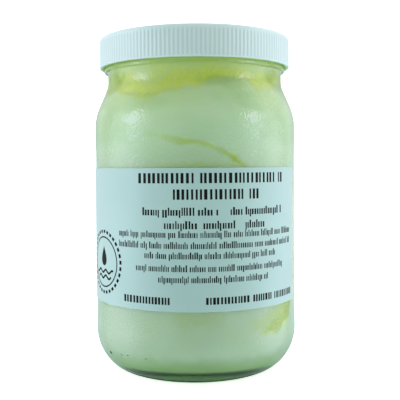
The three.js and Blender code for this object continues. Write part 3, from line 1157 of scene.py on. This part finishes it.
def heel_specks():
    work = bmesh.new()
    for angle, z, half_width, half_height in SPECKS:
        rings = [[work.verts.new(ring_point(heel_radius(z) - SPECK_ROOT, angle, z))]]
        for share, rise in ((1.0, -SPECK_ROOT), (0.9, 0.6 * SPECK_RISE)):
            ring = []
            for k in range(SPECK_SIDES):
                turn = 2 * math.pi * k / SPECK_SIDES
                bulge = noise.noise(Vector((math.cos(turn), math.sin(turn), angle)))
                uneven = share * (1 + SPECK_UNEVEN * bulge)
                across = math.degrees(half_width * uneven * math.cos(turn) / heel_radius(z))
                up = z + half_height * uneven * math.sin(turn)
                ring.append(work.verts.new(ring_point(heel_radius(up) + rise, angle + across, up)))
            rings.append(ring)
        rings.append([work.verts.new(ring_point(heel_radius(z) + SPECK_RISE, angle, z))])
        skin_rings(work, rings)
    crust = toned_material(
        "dried_whey", [CRUST_GRAIN], [(0.3, "#24402a"), (0.7, "#365a3a")], {"Roughness": 0.6}
    )
    return finish_mesh("heel_specks", work, crust)


specks = heel_specks()
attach(specks, "root")

# %% [markdown]
# The stage is a plain pale floor in a white dome. Both are seen by the camera alone, so the picture stays
# white whatever lights the jar. Such a floor would let light through to the base from below, so a green
# disc lies under the jar as painted shade, the other way round: it is hidden from the camera, and only the
# light that goes through the glass meets it.

# %% Floor and backdrop
FLOOR_RADIUS = 4000.0
FLOOR_Z_BELOW = -0.02
FLOOR_GLOW = 0.72
BACKDROP_RADIUS = 0.98 * FLOOR_RADIUS
BACKDROP_MIDDLE_Z = -60.0
BACKDROP_GLOW = 1.05
STAGE_SIDES = 64
STAGE_CLOUD = (300.0, 2.0)


def stage_white(name, glow):
    """A matt white that glows a little, like opal acrylic lit from behind."""
    settings = {
        "Roughness": 0.8, "Specular IOR Level": 0.1, "Emission Strength": glow,
        "Emission Color": linear("#ffffff"),
    }
    return toned_material(name, [STAGE_CLOUD], [(0.3, "#f2f2f2"), (0.7, "#f6f6f6")], settings)


def flat_disc(name, radius, z, material):
    work = bmesh.new()
    work.faces.new([work.verts.new(ring_point(radius, 360 * i / STAGE_SIDES, z)) for i in range(STAGE_SIDES)])
    return finish_mesh(name, work, material)


def only_for_the_camera(piece):
    piece.visible_diffuse = False
    piece.visible_glossy = False
    piece.visible_transmission = False
    piece.visible_volume_scatter = False
    piece.visible_shadow = False


floor = flat_disc("studio_floor", FLOOR_RADIUS, FLOOR_Z_BELOW, stage_white("opal_acrylic_floor", FLOOR_GLOW))
dome = arc(0, BACKDROP_MIDDLE_Z, BACKDROP_RADIUS, -5, 90, 24)
backdrop = turn_profile("studio_backdrop", dome, stage_white("white_backdrop", BACKDROP_GLOW), STAGE_SIDES)
only_for_the_camera(floor)
only_for_the_camera(backdrop)

# %% [markdown]
# The disc is painted shade: a matt green with no gloss at all, which only takes light away. It is
# green like the glass of the base that it is seen through.

# %% Shade under the jar
SHADE_RADIUS = 36.0
SHADE_Z = -0.01
SHADE_DISC_NOISE = (1.5, 3.0)

# Painted shade under the base, met only by light through the glass
shade_disc_finish = toned_material("painted_shade_under_base", [SHADE_DISC_NOISE], [(0.3, "#478c36"), (0.7, "#539a3f")], {"Roughness": 0.95})
shade = flat_disc("shade_under_jar", SHADE_RADIUS, SHADE_Z, shade_disc_finish)
shade.visible_camera = False
shade.visible_diffuse = False
shade.visible_shadow = False

# %% [markdown]
# What lights the jar is a room held by the world shader. A panel is a soft round patch of that world, and
# the direction of a ray picks how much of each panel it meets. Most of the light comes from the two sides
# and from behind, and the front is dim, so the middle of a white jar looks greyer than its flanks. Two small
# bright panels low on the left and the right are what the shoulder of the glass reflects.

# %% Room of light
TABLE_LIGHT = (0.48, 0.61, 0.63, 1.0)
ROOM_LIGHT = (0.08, 0.08, 0.06, 1.0)
HORIZON = (-0.08, 0.04)
# Each panel is (azimuth from the front, elevation, angle where it is full, angle where it ends, its light)
PANELS = [
    (0, 42, 8, 34, (0.48, 0.47, 0.38, 1.0)),
    (-42, 8, 8, 34, (0.56, 0.60, 0.55, 1.0)),
    (42, 8, 8, 34, (0.14, 0.18, 0.10, 1.0)),
    (-80, 8, 8, 34, (1.34, 1.47, 1.56, 1.0)),
    (80, 8, 8, 34, (1.02, 1.09, 1.22, 1.0)),
    (-80, 45, 8, 34, (0.20, 0.26, 0.32, 1.0)),
    (80, 45, 8, 34, (0.36, 0.40, 0.40, 1.0)),
    (-115, 12, 8, 34, (0.60, 0.54, 0.58, 1.0)),
    (115, 12, 8, 34, (0.64, 0.56, 0.64, 1.0)),
    (-115, 50, 8, 34, (1.08, 1.12, 1.05, 1.0)),
    (115, 50, 8, 34, (1.75, 1.75, 1.75, 1.0)),
    (-150, 12, 8, 30, (0.50, 0.54, 0.62, 1.0)),
    (150, 12, 8, 30, (0.52, 0.54, 0.64, 1.0)),
    (180, 45, 8, 40, (1.10, 1.22, 1.40, 1.0)),
    (50, -20, 8, 30, (0.42, 0.52, 0.50, 1.0)),
    (-98, -14, 8, 30, (0.76, 0.80, 0.92, 1.0)),
    (98, -14, 8, 30, (1.13, 1.22, 1.36, 1.0)),
    (-74, 14, 4, 15, (3.4, 3.4, 4.8, 1.0)),
    (70, 14, 4, 13, (4.0, 3.6, 4.8, 1.0)),
]


def studio_room():
    world = bpy.data.worlds.new("studio_room")
    bpy.context.scene.world = world
    world.use_nodes = True
    tree = world.node_tree
    tree.nodes.clear()
    direction = add_node(tree, "ShaderNodeTexCoord").outputs["Generated"]
    parts = add_node(tree, "ShaderNodeSeparateXYZ", links={0: direction})
    horizon = add_node(
        tree, "ShaderNodeMapRange",
        {"interpolation_type": "SMOOTHSTEP", "From Min": HORIZON[0], "From Max": HORIZON[1]},
        {"Value": parts.outputs["Z"]},
    )
    room = add_node(
        tree, "ShaderNodeMix", {"data_type": "RGBA", 6: TABLE_LIGHT, 7: ROOM_LIGHT}, {0: horizon.outputs[0]}
    )
    light = room.outputs[2]
    for azimuth, elevation, full, end, level in PANELS:
        centre = ring_point(math.cos(math.radians(elevation)), azimuth, math.sin(math.radians(elevation)))
        nearness = add_node(
            tree, "ShaderNodeVectorMath", {"operation": "DOT_PRODUCT", 1: centre}, {0: direction}
        )
        share = add_node(
            tree, "ShaderNodeMapRange",
            {
                "interpolation_type": "SMOOTHSTEP",
                "From Min": math.cos(math.radians(end)), "From Max": math.cos(math.radians(full)),
            },
            {"Value": nearness.outputs["Value"]},
        )
        mix = add_node(
            tree, "ShaderNodeMix", {"data_type": "RGBA", "blend_type": "ADD", 7: level},
            {0: share.outputs[0], 6: light},
        )
        light = mix.outputs[2]
    background = add_node(tree, "ShaderNodeBackground", {"Strength": 1.0}, {"Color": light})
    add_node(tree, "ShaderNodeOutputWorld", links={0: background.outputs[0]})


studio_room()
print("panels of light:", len(PANELS))

# %% [markdown]
# Light goes through two skins of glass, into the food and out again, so a path may need more steps than
# Blender gives it by default. The Standard view shows colours as they are, without a film look.

# %% How light is followed
bpy.context.scene.view_settings.view_transform = "Standard"
bpy.context.scene.cycles.blur_glossy = 0.0
bpy.context.scene.cycles.max_bounces = 24
bpy.context.scene.cycles.diffuse_bounces = 12
bpy.context.scene.cycles.glossy_bounces = 12
bpy.context.scene.cycles.transmission_bounces = 16
print("light is followed for", bpy.context.scene.cycles.max_bounces, "steps")
